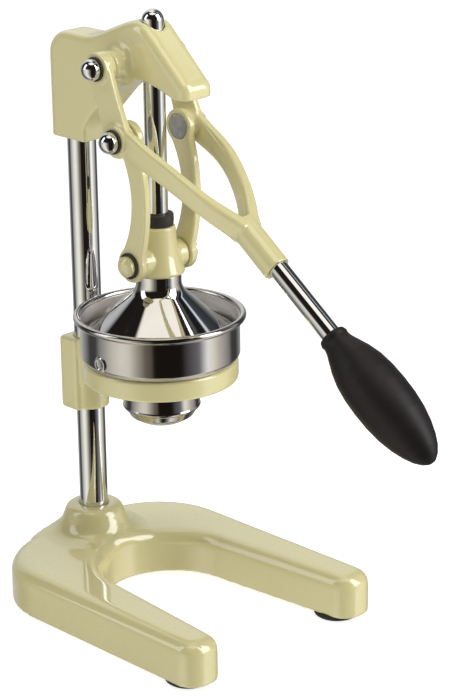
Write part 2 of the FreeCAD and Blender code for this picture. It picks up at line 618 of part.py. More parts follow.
def press_bell():
    """Thin cone with a straight neck and a flat rim."""
    crown, inside, hole = BELL_TOP - BELL_CROWN, BELL_NECK_R - BELL_WALL, ROD_NECK_R + 0.1
    outer = [(BELL_NECK_R, BELL_TOP), (BELL_NECK_R, 261.0), (17.5, 257.4), (19.3, 253.8), (22.3, 250.2),
             (50.0, 225.6), (53.6, BELL_RIM_Z + 1.8), (BELL_RIM_R, BELL_RIM_Z + 1.8)]
    inner = [(BELL_RIM_R, BELL_RIM_Z), (52.8, BELL_RIM_Z), (49.0, 223.9), (21.2, 248.7), (17.9, 252.9),
             (16.0, 256.9), (inside, 260.8), (inside, crown), (hole, crown), (hole, BELL_TOP)]
    return turned(outer + inner, ROD_FWD)


def bell_washer():
    top = BELL_TOP - BELL_CROWN
    disc = upright(BELL_WASHER_R, top - BELL_WASHER_T, top, ROD_FWD)
    return disc.cut(upright(ROD_NECK_R + 0.1, ROD_BOTTOM, BELL_TOP, ROD_FWD))


def bell_nut():
    bottom = BELL_TOP - BELL_CROWN - BELL_WASHER_T - BELL_NUT_T
    nut = Part.Face(hexagon(BELL_NUT_R, at(0, ROD_FWD, bottom), X_AXIS, Y_AXIS)).extrude(V(0, 0, BELL_NUT_T))
    return nut.cut(upright(ROD_NECK_R + FIT, ROD_BOTTOM, BELL_TOP, ROD_FWD))


# ---- bowl and its bracket ---------------------------------------------------
def bowl_bracket():
    """Ring under the bowl, a web to the block and sleeve on the post, and a gusset below it."""
    f, low = ROD_FWD, SEAT_BOTTOM
    seat = upright(SEAT_R, low, SEAT_TOP, f)
    seat = rounded(seat, 2.5, lambda e: e.BoundBox.ZLength < 0.01)
    block = Part.makeBox(2 * BLOCK_HALF, BLOCK_FRONT - BLOCK_REAR, SEAT_TOP - 2 - SLEEVE_BOTTOM,
                         at(-BLOCK_HALF, BLOCK_FRONT, SLEEVE_BOTTOM))
    block = rounded(block, 4.0, lambda e: e.BoundBox.ZLength > 50)
    block = rounded(block, 3.0, lambda e: e.BoundBox.ZLength < 1)
    sleeve = upright(SLEEVE_R, SLEEVE_BOTTOM + 2, low + 2)
    gusset = Part.Face(outline([at(-14, 0, low + 1), at(-14, 30, low + 1), at(-14, 24, low - 7),
                                at(-14, 8, low - 22), at(-14, 0, low - 22)])).extrude(V(28, 0, 0))
    web = Part.Face(outline([at(-14, 4, low), at(14, 4, low), at(34, 46, low), at(-34, 46, low)]))
    web = web.extrude(V(0, 0, SEAT_TOP - 1 - low))
    body = joined([seat, block, sleeve, gusset, web])
    body = body.cut(upright(SEAT_BORE, SLEEVE_BOTTOM, SEAT_TOP + 1, f))
    body = body.cut(upright(POST_R + FIT, SLEEVE_BOTTOM - 1, SEAT_TOP + 1))
    return body.cut(grub_hole(BRACKET_GRUB_Z))


def juice_bowl():
    f, w = ROD_FWD, BOWL_WALL
    r, neck, spout = BOWL_R, BOWL_NECK_R, SPOUT_R
    outer = [(r, BOWL_TOP), (r, 206.0), (r - 1.2, 203.4), (r - 3.8, BOWL_SEAT), (neck, BOWL_SEAT),
             (neck, 191.0), (neck - 2, 188.4), (spout + 2, SPOUT_TOP), (spout, SPOUT_TOP - 2),
             (spout, SPOUT_EDGE), (spout - 1.5, SPOUT_EDGE - 2.4), (23.5, 156.0), (16.0, 152.4),
             (OUTLET_R, SPOUT_BOTTOM)]
    inner = [(OUTLET_R, SPOUT_BOTTOM + w), (15.7, 153.4), (23.0, 157.0), (spout - 2.3, 162.4),
             (spout - w, SPOUT_EDGE + 0.4), (spout - w, SPOUT_TOP - 1.6), (spout + 1.4, SPOUT_TOP + 1.0),
             (neck - 2.6, 189.4), (neck - w, 191.4), (neck - w, BOWL_SEAT + w), (r - 4.0, BOWL_SEAT + w),
             (r - 2.0, 204.2), (r - w, 206.2), (r - w, BOWL_TOP)]
    wall = turned(outer + inner, f)
    roll = Part.makeTorus(r + RIM_ROLL_R - 0.4, RIM_ROLL_R, at(0, f, BOWL_TOP), Z_AXIS)
    body = wall.fuse(roll)
    return body.cut(crosswise(STUD_SHANK_R, -BOWL_R - 5, BOWL_R + 5, f, STUD_Z))


def bowl_stud():
    """Rivet with a dished head outside and a flat one inside."""
    outside, inside = BOWL_R + 0.02, BOWL_R - BOWL_WALL - 0.1
    head = crosswise(STUD_R, BOWL_R - 0.6, BOWL_R + 1.4, ROD_FWD, STUD_Z)
    head = rounded(head, 0.9, lambda e: e.BoundBox.XMin > BOWL_R + 1.3 and e.BoundBox.XLength < 0.1)
    head = head.cut(upright(outside, STUD_Z - 10, STUD_Z + 10, ROD_FWD))
    dish = Part.makeSphere(8.0, at(BOWL_R + 8.7, ROD_FWD, STUD_Z))
    inner = crosswise(3.4, inside - 1.1, inside, ROD_FWD, STUD_Z)
    shank = crosswise(STUD_SHANK_R, inside - 1, BOWL_R + 1, ROD_FWD, STUD_Z)
    return joined([head.cut(dish), inner, shank])


def strainer_cone():
    """Perforated cone that stands on the bowl's inner shoulder."""
    t, seat = 1.2, BOWL_SEAT + BOWL_WALL + 0.1
    outer = [(0, 231.5), (5.0, 230.6), (10.0, 227.6), (42.0, seat + 3.0), (44.5, seat + t),
             (55.0, seat + t)]
    inner = [(55.0, seat), (44.0, seat), (41.4, seat + 1.6), (9.4, 226.2), (4.6, 229.3), (0, 230.2)]
    body = turned(outer + inner, ROD_FWD)
    for k in range(SLOTS):
        slot = Part.makeBox(20, SLOT_WIDTH, 60, V(SLOT_START, -SLOT_WIDTH / 2, BOWL_SEAT))
        slot.rotate(V(0, 0, 0), Z_AXIS, k * 360.0 / SLOTS)
        slot.translate(at(0, ROD_FWD, 0))
        body = body.cut(slot)
    return body


# ---- assembly ---------------------------------------------------------------
def pair(make):
    """One node with a left and a right solid."""
    return Part.makeCompound([mirrored(make(), s) for _, s in SIDES])


def assembly():
    nodes = {
        "base_casting": base_casting(),
        "foot_screws": Part.makeCompound([foot_screw(f, x) for f, x in foot_places()]),
        "post": post(), "post_bolt": post_bolt(), "post_washer": post_washer(),
        "head_casting": head_casting(), "guide_bush": guide_bush(),
        "head_grub_screws": Part.makeCompound([grub_screw(z, 6.5) for z in GRUB_HEIGHTS]),
        "bowl_bracket": bowl_bracket(), "bracket_grub_screw": grub_screw(BRACKET_GRUB_Z, 5.0),
        "juice_bowl": juice_bowl(), "bowl_studs": pair(bowl_stud), "strainer_cone": strainer_cone(),
        "press_hub": press_hub(), "guide_rod": guide_rod(), "rubber_buffer": rubber_buffer(),
        "press_bell": press_bell(), "bell_washer": bell_washer(), "bell_nut": bell_nut(),
        "lever_yoke": lever_yoke(), "handle_tube": handle_tube(), "handle_pin": handle_pin(),
        "handle_grip": handle_grip(), "lever_axle": lever_axle(),
    }
    for place, forward, half in FOOT_PLACES:
        for name, s in SIDES:
            nodes["foot_%s_%s" % (place, name)] = foot(forward, s * half)
    for name, s in SIDES:
        pieces = {
            "axle_bush": axle_bush(), "crank_pin": crank_pin(name), "link": link(),
            "link_pin": link_pin(), "link_ring": link_ring(), "link_cap": link_cap(),
            "axle_washer": washer(EYE_FACE, AXLE_R, PIVOT_FWD, PIVOT_Z),
            "axle_cap_nut": cap_nut(name, EYE_FACE + WASHER_T, AXLE_R, PIVOT_FWD, PIVOT_Z),
            "crank_washer": washer(PAD_FACE, CRANK_STUD_R, CRANK_FWD, CRANK_Z),
            "crank_cap_nut": cap_nut(name, PAD_FACE + WASHER_T, CRANK_STUD_R, CRANK_FWD, CRANK_Z)}
        for piece, shape in pieces.items():
            nodes["%s_%s" % (piece, name)] = mirrored(shape, s)
    return nodes


def centring_shift(nodes):
    """The move along Y that centres the whole model's bounding box on the origin."""
    front = nodes["handle_grip"].optimalBoundingBox(False, False).YMin
    return -(BASE_REAR + front) / 2


os.makedirs("parts", exist_ok=True)
all_nodes = assembly()
shift = V(0, centring_shift(all_nodes), 0)
for node, solid in all_nodes.items():
    solid.translate(shift)
    solid.exportStep("parts/%s.step" % node)
    state = "valid" if solid.isValid() else "INVALID"
    print("%-22s %s, %d solid(s), %.0f mm3" % (node, state, len(solid.Solids), solid.Volume))
print("post axis at y = %.4f" % shift.y)
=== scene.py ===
import math

import bmesh
import bpy
from mathutils import Matrix, Vector


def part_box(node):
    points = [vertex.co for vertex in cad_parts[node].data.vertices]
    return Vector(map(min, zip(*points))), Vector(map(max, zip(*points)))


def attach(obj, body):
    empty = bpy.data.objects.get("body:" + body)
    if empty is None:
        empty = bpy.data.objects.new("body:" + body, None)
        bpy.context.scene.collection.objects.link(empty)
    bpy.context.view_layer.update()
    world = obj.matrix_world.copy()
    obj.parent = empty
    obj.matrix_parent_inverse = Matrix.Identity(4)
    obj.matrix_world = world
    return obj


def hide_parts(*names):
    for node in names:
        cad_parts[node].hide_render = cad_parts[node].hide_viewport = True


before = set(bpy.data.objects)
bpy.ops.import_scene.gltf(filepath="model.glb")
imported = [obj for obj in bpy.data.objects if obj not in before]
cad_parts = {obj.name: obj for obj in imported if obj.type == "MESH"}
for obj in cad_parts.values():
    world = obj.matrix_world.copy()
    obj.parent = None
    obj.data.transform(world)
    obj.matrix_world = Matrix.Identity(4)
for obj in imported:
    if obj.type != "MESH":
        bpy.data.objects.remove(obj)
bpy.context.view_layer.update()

MM = 0.001
X_AXIS, Y_AXIS, Z_AXIS = Vector((1, 0, 0)), Vector((0, 1, 0)), Vector((0, 0, 1))
SIDES = (("left", -1), ("right", 1))
HANDLE_TILT = math.radians(36.15)     # the handle's slope below the horizontal
ALONG = Vector((0, -math.cos(HANDLE_TILT), -math.sin(HANDLE_TILT)))
SHARP_EDGE = math.radians(38)         # edges that turn more than this stay crisp
ROD_NECK_R = 6                        # mm, the rod's thinner end, through the bell's crown
TUBE_WALL = 1.5                       # mm, of the handle tube


# ---- where things are, read from the CAD frame ------------------------------
def centre(node):
    low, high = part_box(node)
    return (low + high) / 2


def size(node):
    low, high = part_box(node)
    return high - low


ROD = centre("guide_rod")             # the rod's and the bowl's upright axis
POST = centre("post")
FLOOR_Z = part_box("foot_front_left")[0].z


def at_rod(z):
    return Vector((ROD.x, ROD.y, z))


# ---- materials --------------------------------------------------------------
def new_material(name):
    material = bpy.data.materials.new(name)
    material.use_nodes = True
    tree = material.node_tree
    return material, tree, tree.nodes["Principled BSDF"]


def place_coordinates(tree):
    return tree.nodes.new("ShaderNodeTexCoord").outputs["Object"]


def noise(tree, vector, scale, detail=3.0, rough=0.5):
    node = tree.nodes.new("ShaderNodeTexNoise")
    node.inputs["Scale"].default_value = scale
    node.inputs["Detail"].default_value = detail
    node.inputs["Roughness"].default_value = rough
    tree.links.new(vector, node.inputs["Vector"])
    return node.outputs["Fac"]


def ramp(tree, factor, stops):
    node = tree.nodes.new("ShaderNodeValToRGB")
    elements = node.color_ramp.elements
    while len(elements) < len(stops):
        elements.new(0.5)
    for element, (position, colour) in zip(elements, stops):
        element.position = position
        element.color = (*colour, 1)
    tree.links.new(factor, node.inputs["Fac"])
    return node.outputs["Color"]


def levels(tree, factor, low, high):
    """A factor from 0 to 1, spread from low to high."""
    node = tree.nodes.new("ShaderNodeMapRange")
    node.inputs["To Min"].default_value = low
    node.inputs["To Max"].default_value = high
    tree.links.new(factor, node.inputs["Value"])
    return node.outputs["Result"]


def step_down(tree, value, edge, blur=0.1 * MM):
    """1 below the edge, 0 above it."""
    node = tree.nodes.new("ShaderNodeMapRange")
    node.inputs["From Min"].default_value = edge - blur
    node.inputs["From Max"].default_value = edge + blur
    node.inputs["To Min"].default_value = 1
    node.inputs["To Max"].default_value = 0
    tree.links.new(value, node.inputs["Value"])
    return node.outputs["Result"]


def arithmetic(tree, operation, a, b=None):
    """One maths node; each operand is a number or another node's output."""
    node = tree.nodes.new("ShaderNodeMath")
    node.operation = operation
    for index, value in enumerate((a, b)):
        if value is None:
            continue
        if isinstance(value, (int, float)):
            node.inputs[index].default_value = value
        else:
            tree.links.new(value, node.inputs[index])
    return node.outputs[0]


def bump(tree, height, strength, distance):
    node = tree.nodes.new("ShaderNodeBump")
    node.inputs["Strength"].default_value = strength
    node.inputs["Distance"].default_value = distance
    tree.links.new(height, node.inputs["Height"])
    return node.outputs["Normal"]


def enamel():
    """Cream stoved enamel over a casting: an even gloss coat with a trace of orange peel."""
    material, tree, shader = new_material("cream_enamel")
    place = place_coordinates(tree)
    tone = noise(tree, place, 9, 3)
    colour = ramp(tree, tone, [(0.3, (0.640, 0.580, 0.285)), (0.7, (0.662, 0.602, 0.302))])
    tree.links.new(colour, shader.inputs["Base Color"])
    tree.links.new(levels(tree, noise(tree, place, 900, 2), 0.26, 0.30), shader.inputs["Roughness"])
    peel = bump(tree, noise(tree, place, 260, 1), 0.03, 0.0005)
    tree.links.new(peel, shader.inputs["Normal"])
    shader.inputs["Coat Weight"].default_value = 0.9
    shader.inputs["Coat Roughness"].default_value = 0.05
    shader.inputs["Coat IOR"].default_value = 1.9
    shader.inputs["Specular IOR Level"].default_value = 0.4
    return material


def chrome():
    """Mirror chrome with faint handling haze."""
    material, tree, shader = new_material("chrome")
    place = place_coordinates(tree)
    haze = noise(tree, place, 35, 6, 0.6)
    colour = ramp(tree, haze, [(0.3, (0.80, 0.81, 0.83)), (0.75, (0.88, 0.89, 0.90))])
    tree.links.new(colour, shader.inputs["Base Color"])
    tree.links.new(levels(tree, haze, 0.02, 0.075), shader.inputs["Roughness"])
    shader.inputs["Metallic"].default_value = 1
    return material


def round_axis(tree, axis_place):
    """The place from an upright axis as a vector, and its radius and height."""
    offset = tree.nodes.new("ShaderNodeVectorMath")
    offset.operation = "SUBTRACT"
    offset.inputs[1].default_value = (axis_place.x, axis_place.y, 0)
    tree.links.new(place_coordinates(tree), offset.inputs[0])
    parts = tree.nodes.new("ShaderNodeSeparateXYZ")
    tree.links.new(offset.outputs["Vector"], parts.inputs["Vector"])
    flat = tree.nodes.new("ShaderNodeCombineXYZ")
    tree.links.new(parts.outputs["X"], flat.inputs["X"])
    tree.links.new(parts.outputs["Y"], flat.inputs["Y"])
    radius = tree.nodes.new("ShaderNodeVectorMath")
    radius.operation = "LENGTH"
    tree.links.new(flat.outputs["Vector"], radius.inputs[0])
    return offset.outputs["Vector"], radius.outputs["Value"], parts.outputs["Z"]


def steel(name, dark, light, rough, turned, axis_place, satin=None):
    """Spun or polished steel; its fine turning lines run round the upright axis at axis_place.

    satin is (radius, height, roughness, lightness): inside that radius and above that height the
    surface is only brushed, so it is rougher; its colour there is also scaled lighter, a painted
    sheen that stands in for the bright light the satin inside of the bowl reflects.
    """
    material, tree, shader = new_material(name)
    place, radius, height = round_axis(tree, axis_place)
    ring = tree.nodes.new("ShaderNodeCombineXYZ")
    tree.links.new(radius, ring.inputs["X"])
    tree.links.new(height, ring.inputs["Y"])
    lines = noise(tree, ring.outputs["Vector"], 1900, 4, 0.6)
    colour = ramp(tree, noise(tree, place, 28, 5), [(0.3, dark), (0.7, light)])
    polish = levels(tree, lines, *rough)
    if satin:
        inside_r, bottom, roughness, lightness = satin
        inside = step_down(tree, radius, inside_r)
        below = step_down(tree, height, bottom)
        above = arithmetic(tree, "SUBTRACT", inside, arithmetic(tree, "MULTIPLY", inside, below))
        polish = arithmetic(tree, "ADD", polish, arithmetic(tree, "MULTIPLY", above, roughness))
        # painted sheen: the base colour is scaled lighter in the satin zone, standing in for its bright
        # reflection
        painted_sheen = tree.nodes.new("ShaderNodeVectorMath")
        painted_sheen.operation = "SCALE"
        tree.links.new(colour, painted_sheen.inputs[0])
        tree.links.new(levels(tree, above, 1, lightness), painted_sheen.inputs["Scale"])
        colour = painted_sheen.outputs["Vector"]
    tree.links.new(colour, shader.inputs["Base Color"])
    tree.links.new(polish, shader.inputs["Roughness"])
    shader.inputs["Metallic"].default_value = 1
    tree.links.new(bump(tree, lines, turned, 0.0001), shader.inputs["Normal"])
    return material


def zinc():
    material, tree, shader = new_material("zinc_steel")
    place = place_coordinates(tree)
    grain = noise(tree, place, 300, 4)
    colour = ramp(tree, grain, [(0.3, (0.42, 0.42, 0.41)), (0.7, (0.58, 0.58, 0.56))])
    tree.links.new(colour, shader.inputs["Base Color"])
    tree.links.new(levels(tree, grain, 0.28, 0.5), shader.inputs["Roughness"])
    shader.inputs["Metallic"].default_value = 1
    return material


def dark_steel():
    """Oiled, nearly black steel of the washers and clips."""
    material, tree, shader = new_material("black_oxide")
    place = place_coordinates(tree)
    grain = noise(tree, place, 500, 4)
    colour = ramp(tree, grain, [(0.3, (0.018, 0.014, 0.012)), (0.7, (0.045, 0.036, 0.03))])
    tree.links.new(colour, shader.inputs["Base Color"])
    tree.links.new(levels(tree, grain, 0.3, 0.5), shader.inputs["Roughness"])
    return material


def rubber():
    material, tree, shader = new_material("black_rubber")
    place = place_coordinates(tree)
    grain = noise(tree, place, 900, 3)
    colour = ramp(tree, grain, [(0.3, (0.016, 0.013, 0.012)), (0.7, (0.035, 0.03, 0.028))])
    tree.links.new(colour, shader.inputs["Base Color"])
    tree.links.new(levels(tree, grain, 0.5, 0.7), shader.inputs["Roughness"])
    tree.links.new(bump(tree, grain, 0.2, 0.0002), shader.inputs["Normal"])
    return material


def grip_plastic():
    """Soft-touch moulded grip, dark brown to black, with a fine matt texture."""
    material, tree, shader = new_material("dark_grip")
    place = place_coordinates(tree)
    tone = noise(tree, place, 40, 5)
    colour = ramp(tree, tone, [(0.3, (0.0105, 0.0075, 0.0078)), (0.7, (0.0145, 0.0105, 0.0105))])
    tree.links.new(colour, shader.inputs["Base Color"])
    grain = noise(tree, place, 1500, 2)
    tree.links.new(levels(tree, grain, 0.40, 0.52), shader.inputs["Roughness"])
    tree.links.new(bump(tree, grain, 0.12, 0.0002), shader.inputs["Normal"])
    shader.inputs["Specular IOR Level"].default_value = 0.3
    return material


def bronze():
    material, tree, shader = new_material("bronze")
    place = place_coordinates(tree)
    grain = noise(tree, place, 700, 4)
    colour = ramp(tree, grain, [(0.3, (0.38, 0.24, 0.09)), (0.7, (0.55, 0.38, 0.17))])
    tree.links.new(colour, shader.inputs["Base Color"])
    tree.links.new(levels(tree, grain, 0.3, 0.5), shader.inputs["Roughness"])
    shader.inputs["Metallic"].default_value = 1
    return material


ENAMEL = enamel()
CHROME = chrome()
INSIDE_BOWL_R = size("juice_bowl").x / 2 - 5.2 * MM     # just inside the rolled rim
# the bowl's satin inside gets a painted sheen: its colour there is made 1.45 times lighter
BOWL_STEEL = steel("bowl_steel", (0.56, 0.54, 0.52), (0.66, 0.64, 0.62), (0.08, 0.15), 0.12, ROD,
                   (INSIDE_BOWL_R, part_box("bowl_bracket")[1].z, 0.34, 1.45))
BELL_STEEL = steel("bell_steel", (0.70, 0.69, 0.68), (0.78, 0.77, 0.76), (0.02, 0.07), 0.04, ROD)
ZINC = zinc()
DARK_STEEL = dark_steel()
RUBBER = rubber()
GRIP = grip_plastic()
BRONZE = bronze()


# ---- mesh helpers -----------------------------------------------------------
def add_object(name, mesh, material, body, replaced):
    mesh.materials.clear()
    mesh.materials.append(material)
    obj = bpy.data.objects.new(name, mesh)
    bpy.context.scene.collection.objects.link(obj)
    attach(obj, body)
    if replaced:
        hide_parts(*replaced)
    return obj


def finish_shading(bm):
    bmesh.ops.recalc_face_normals(bm, faces=bm.faces)
    for face in bm.faces:
        face.smooth = True
    for edge in bm.edges:
        if len(edge.link_faces) == 2 and edge.calc_face_angle(0) > SHARP_EDGE:
            edge.smooth = False


def soften(points, steps=5):
    """(r, h, corner radius) points to (r, h) points, with each corner turned into an arc."""
    out = []
    for i, (r, h, radius) in enumerate(points):
        here = Vector((r, h))
        if radius <= 0 or i in (0, len(points) - 1):
            out.append(here)
            continue
        back = Vector(points[i - 1][:2]) - here
        ahead = Vector(points[i + 1][:2]) - here
        half = back.angle(ahead) / 2
        reach = min(radius / math.tan(half), back.length * 0.49, ahead.length * 0.49)
        start, end = here + back.normalized() * reach, here + ahead.normalized() * reach
        for k in range(steps + 1):
            t = k / steps
            out.append(start * (1 - t) ** 2 + here * 2 * t * (1 - t) + end * t ** 2)
    return out


def lathe_mesh(name, profile, origin, axis=Z_AXIS, segments=96, steps=5):
    """A turned closed shell from (r, h, corner radius) points in mm, h along the axis."""
    points = soften(profile, steps)
    turn = Z_AXIS.rotation_difference(axis).to_matrix()
    bm = bmesh.new()
    rings = []
    for point in points:
        r, h = point.x * MM, point.y * MM
        if r < 1e-7:
            rings.append([bm.verts.new(origin + turn @ Vector((0, 0, h)))])
            continue
        ring = []
        for k in range(segments):
            angle = 2 * math.pi * k / segments
            ring.append(bm.verts.new(origin + turn @ Vector((r * math.cos(angle), r * math.sin(angle), h))))
        rings.append(ring)
    closed = len(rings[0]) > 1 and len(rings[-1]) > 1
    pairs = list(zip(rings, rings[1:])) + ([(rings[-1], rings[0])] if closed else [])
    for low, high in pairs:
        for k in range(segments):
            corners = [low[k % len(low)], low[(k + 1) % len(low)],
                       high[(k + 1) % len(high)], high[k % len(high)]]
            unique = list(dict.fromkeys(corners))
            if len(unique) > 2:
                bm.faces.new(unique)
    finish_shading(bm)
    mesh = bpy.data.meshes.new(name)
    bm.to_mesh(mesh)
    bm.free()
    return mesh


def lathe(name, profile, origin, material, body, replaced, axis=Z_AXIS, segments=96, steps=5):
    mesh = lathe_mesh(name, profile, origin, axis, segments, steps)
    return add_object(name, mesh, material, body, replaced)


def applied(mesh, modifiers):
    """The mesh after the modifiers, which are (type, settings) pairs."""
    temp = bpy.data.objects.new("temp", mesh)
    bpy.context.scene.collection.objects.link(temp)
    for kind, settings in modifiers:
        modifier = temp.modifiers.new(kind, kind)
        for key, value in settings.items():
            setattr(modifier, key, value)
    bpy.context.view_layer.update()
    evaluated = temp.evaluated_get(bpy.context.evaluated_depsgraph_get())
    result = bpy.data.meshes.new_from_object(evaluated)
    bpy.data.objects.remove(temp)
    return result


def casting(name, node, body, voxel, passes):
    """A casting: the CAD shape with soft cast edges and fillets, as one even skin."""
    bm = bmesh.new()
    bm.from_mesh(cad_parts[node].data)
    bmesh.ops.remove_doubles(bm, verts=bm.verts, dist=1e-6)
    mesh = bpy.data.meshes.new(name)
    bm.to_mesh(mesh)
    bm.free()
    mesh = applied(mesh, [("REMESH", {"mode": "VOXEL", "voxel_size": voxel * MM, "use_smooth_shade": True}),
                          ("SMOOTH", {"factor": 0.5, "iterations": passes})])
    mesh.name = name
    for polygon in mesh.polygons:
        polygon.use_smooth = True
    return add_object(name, mesh, ENAMEL, body, [node])


# ---- castings ---------------------------------------------------------------
# each with its voxel size in mm and its smoothing passes
casting("base_enamelled", "base_casting", "stand", 1.4, 7)
casting("head_enamelled", "head_casting", "stand", 1.0, 10)
casting("bracket_enamelled", "bowl_bracket", "stand", 1.0, 4)
casting("yoke_enamelled", "lever_yoke", "lever", 0.7, 5)
casting("hub_enamelled", "press_hub", "press_head", 0.7, 4)
for side, _ in SIDES:
    casting("side_link_" + side, "link_" + side, side + "_link", 0.6, 4)


# ---- post, rod and handle ---------------------------------------------------
def post():
    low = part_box("post")[0]
    r, length = size("post").x / 2 / MM, size("post").z / MM
    chamfer = 0.6
    lathe("chrome_post", [(0, 0, 0), (r, 0, chamfer), (r, length, chamfer), (0, length, 0)],
          Vector((POST.x, POST.y, low.z)), CHROME, "stand", ["post"])


post()


def guide_rod():
    low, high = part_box("guide_rod")
    r, length = size("guide_rod").x / 2 / MM, (high.z - low.z) / MM
    neck_length = (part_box("press_bell")[1].z - low.z) / MM
    shank = [(0, 0, 0), (ROD_NECK_R, 0, 0.5), (ROD_NECK_R, neck_length, 0), (r, neck_length, 0.3)]
    dome = [(r * math.cos(a), length - r + r * math.sin(a), 0)
            for a in (math.radians(9 * k) for k in range(10))]
    lathe("chrome_guide_rod", shank + dome + [(0, length, 0)], at_rod(low.z), CHROME, "press_head",
          ["guide_rod"])


guide_rod()


def handle():
    box = size("handle_tube")
    tube_length = (box.y - box.x * math.sin(HANDLE_TILT)) / math.cos(HANDLE_TILT)
    start = centre("handle_tube") - ALONG * tube_length / 2
    r, length = box.x / 2 / MM, tube_length / MM
    bore = r - TUBE_WALL
    lathe("chrome_handle_tube", [(bore, 0, 0), (r, 0, 0.4), (r, length, 0.4), (bore, length, 0)],
          start, CHROME, "lever", ["handle_tube"], ALONG)
    tip_r = size("handle_grip").x / 2 / MM
    swell = [(7.3, 73.5, 0), (9.9, 73.5, 0.8), (10.7, 76.2, 1.2), (10.3, 79.0, 1.5), (11.3, 83, 3),
             (13.6, 88.5, 5), (16.6, 96, 6), (19.3, 105.5, 8), (20.9, 117, 9), (tip_r, 129.5, 10),
             (21.1, 142, 10), (19.8, 154, 9), (17.3, 165, 8), (14.2, 174, 6), (10.8, 181, 5),
             (7.0, 186, 3.5), (3.4, 188.8, 2), (0, 189.5, 0)]
    inside = [(0, 160, 0), (7.3, 160, 0)]
    zero = 28.0                        # the grip's heights count from this far along the tube
    lathe("moulded_grip", inside + swell, start + ALONG * zero * MM, GRIP, "lever",
          ["handle_grip"], ALONG, 128)


handle()


# ---- bowl, bell and strainer ------------------------------------------------
def bowl():
    low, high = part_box("juice_bowl")
    rim_r = size("juice_bowl").x / 2 / MM
    base, top = low.z / MM, high.z / MM
    roll = 2.6                         # radius of the rolled rim
    wall = rim_r - 2 * roll + 0.4
    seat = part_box("bowl_bracket")[1].z / MM + 0.1
    neck, spout = 49.4, 29.0           # outer radii just below the seat and at the spout

    def h(z):
        return z - base

    curl = []
    centre_r, centre_z = wall + roll - 0.4, top - roll
    for k in range(13):                # the rolled rim, from inside over the top and down outside
        angle = math.radians(200 - 20 * k)
        curl.append((centre_r + roll * math.cos(angle), h(centre_z + roll * math.sin(angle)), 0))
    profile = curl + [
        (wall, h(top - 2 * roll - 1.2), 0.4), (wall, h(seat + 4), 2.0), (wall - 2.6, h(seat), 1.8),
        (neck, h(seat), 0.6), (neck, h(190.5), 3.0), (spout + 3, h(182.4), 2.0), (spout, h(181), 1.5),
        (spout, h(166.2), 0.5), (spout + 0.5, h(165.0), 0.5), (spout - 0.4, h(163.4), 0.6),
        (spout - 2.0, h(162.4), 1.0), (24.0, h(157.0), 6.0), (16.0, h(152.4), 6.0), (8.0, h(base), 0.4),
        (8.0, h(base + 1.0), 0.4), (15.7, h(153.5), 6.0), (23.4, h(158.2), 5.0),
        (spout - 1.2, h(164.0), 1.0), (spout - 1.0, h(181.6), 1.0), (spout + 2.0, h(183.6), 1.5),
        (neck - 1.2, h(191.4), 2.5), (neck - 1.0, h(seat + 1.2), 0.6), (wall - 3.4, h(seat + 1.2), 1.0),
        (wall - 1.0, h(seat + 4.4), 1.5), (wall - 1.0, h(top - roll - 0.8), 0)]
    lathe("spun_bowl", profile, at_rod(low.z), BOWL_STEEL, "bowl", ["juice_bowl"],
          segments=160)


bowl()


def bell():
    low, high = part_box("press_bell")
    rim = size("press_bell").x / 2 / MM
    top = (high.z - low.z) / MM
    neck, t = 16.9, 1.6                # outer radius of the neck, and the wall
    outer = [(6.1, top, 0), (neck, top, 0.8), (neck, top - 11.7, 14), (50.0, top - 42.7, 5),
             (53.6, 1.8, 1.6), (rim, 1.8, 0.8)]
    inner = [(rim, 0, 0.8), (52.8, 0, 1.2), (49.0, 2.7, 4), (neck - t, top - 13.2, 14),
             (neck - t, top - 1.9, 0.8), (6.1, top - 1.9, 0)]
    lathe("polished_bell", outer + inner, at_rod(low.z), BELL_STEEL, "press_head",
          ["press_bell"], segments=192, steps=14)


bell()


def strainer():
    """Perforated cone: slots are left open between the meridians of a thin turned skin."""
    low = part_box("strainer_cone")[0]
    outer_r = size("strainer_cone").x / 2 / MM
    rows = [(0.0, 26.6), (3.5, 26.2), (7.0, 24.6), (10.0, 22.6)]
    for k in range(9):
        t = (k + 1) / 9
        rows.append((10.0 + t * 32.0, 22.6 - t * 20.6))
    rows += [(44.5, 0.6), (47.0, 0.2), (outer_r, 0.2)]
    slots, cells = 16, 192
    per_slot, open_cells = cells // slots, 3
    slot_rows = range(4, 11)
    bm = bmesh.new()
    apex = bm.verts.new(at_rod(low.z + rows[0][1] * MM))
    rings = []
    for r, h in rows[1:]:
        middle = at_rod(low.z + h * MM)
        rings.append([bm.verts.new(middle + Vector((math.cos(a), math.sin(a), 0)) * r * MM)
                      for a in (2 * math.pi * k / cells for k in range(cells))])
    for k in range(cells):
        bm.faces.new((apex, rings[0][k], rings[0][(k + 1) % cells]))
    for row, (upper, lower) in enumerate(zip(rings, rings[1:])):
        for k in range(cells):
            if row in slot_rows and k % per_slot < open_cells:
                continue
            bm.faces.new((upper[k], lower[k], lower[(k + 1) % cells], upper[(k + 1) % cells]))
    loose = [v for v in bm.verts if not v.link_faces]
    bmesh.ops.delete(bm, geom=loose, context="VERTS")
    bmesh.ops.recalc_face_normals(bm, faces=bm.faces)
    mesh = bpy.data.meshes.new("strainer_skin")
    bm.to_mesh(mesh)
    bm.free()
    mesh = applied(mesh, [("SOLIDIFY", {"thickness": 1.1 * MM, "offset": 1.0}),
                          ("BEVEL", {"width": 0.25 * MM, "segments": 2, "limit_method": "ANGLE"})])
    for polygon in mesh.polygons:
        polygon.use_smooth = True
    add_object("strainer_cone_pressed", mesh, BOWL_STEEL, "bowl", ["strainer_cone"])


strainer()


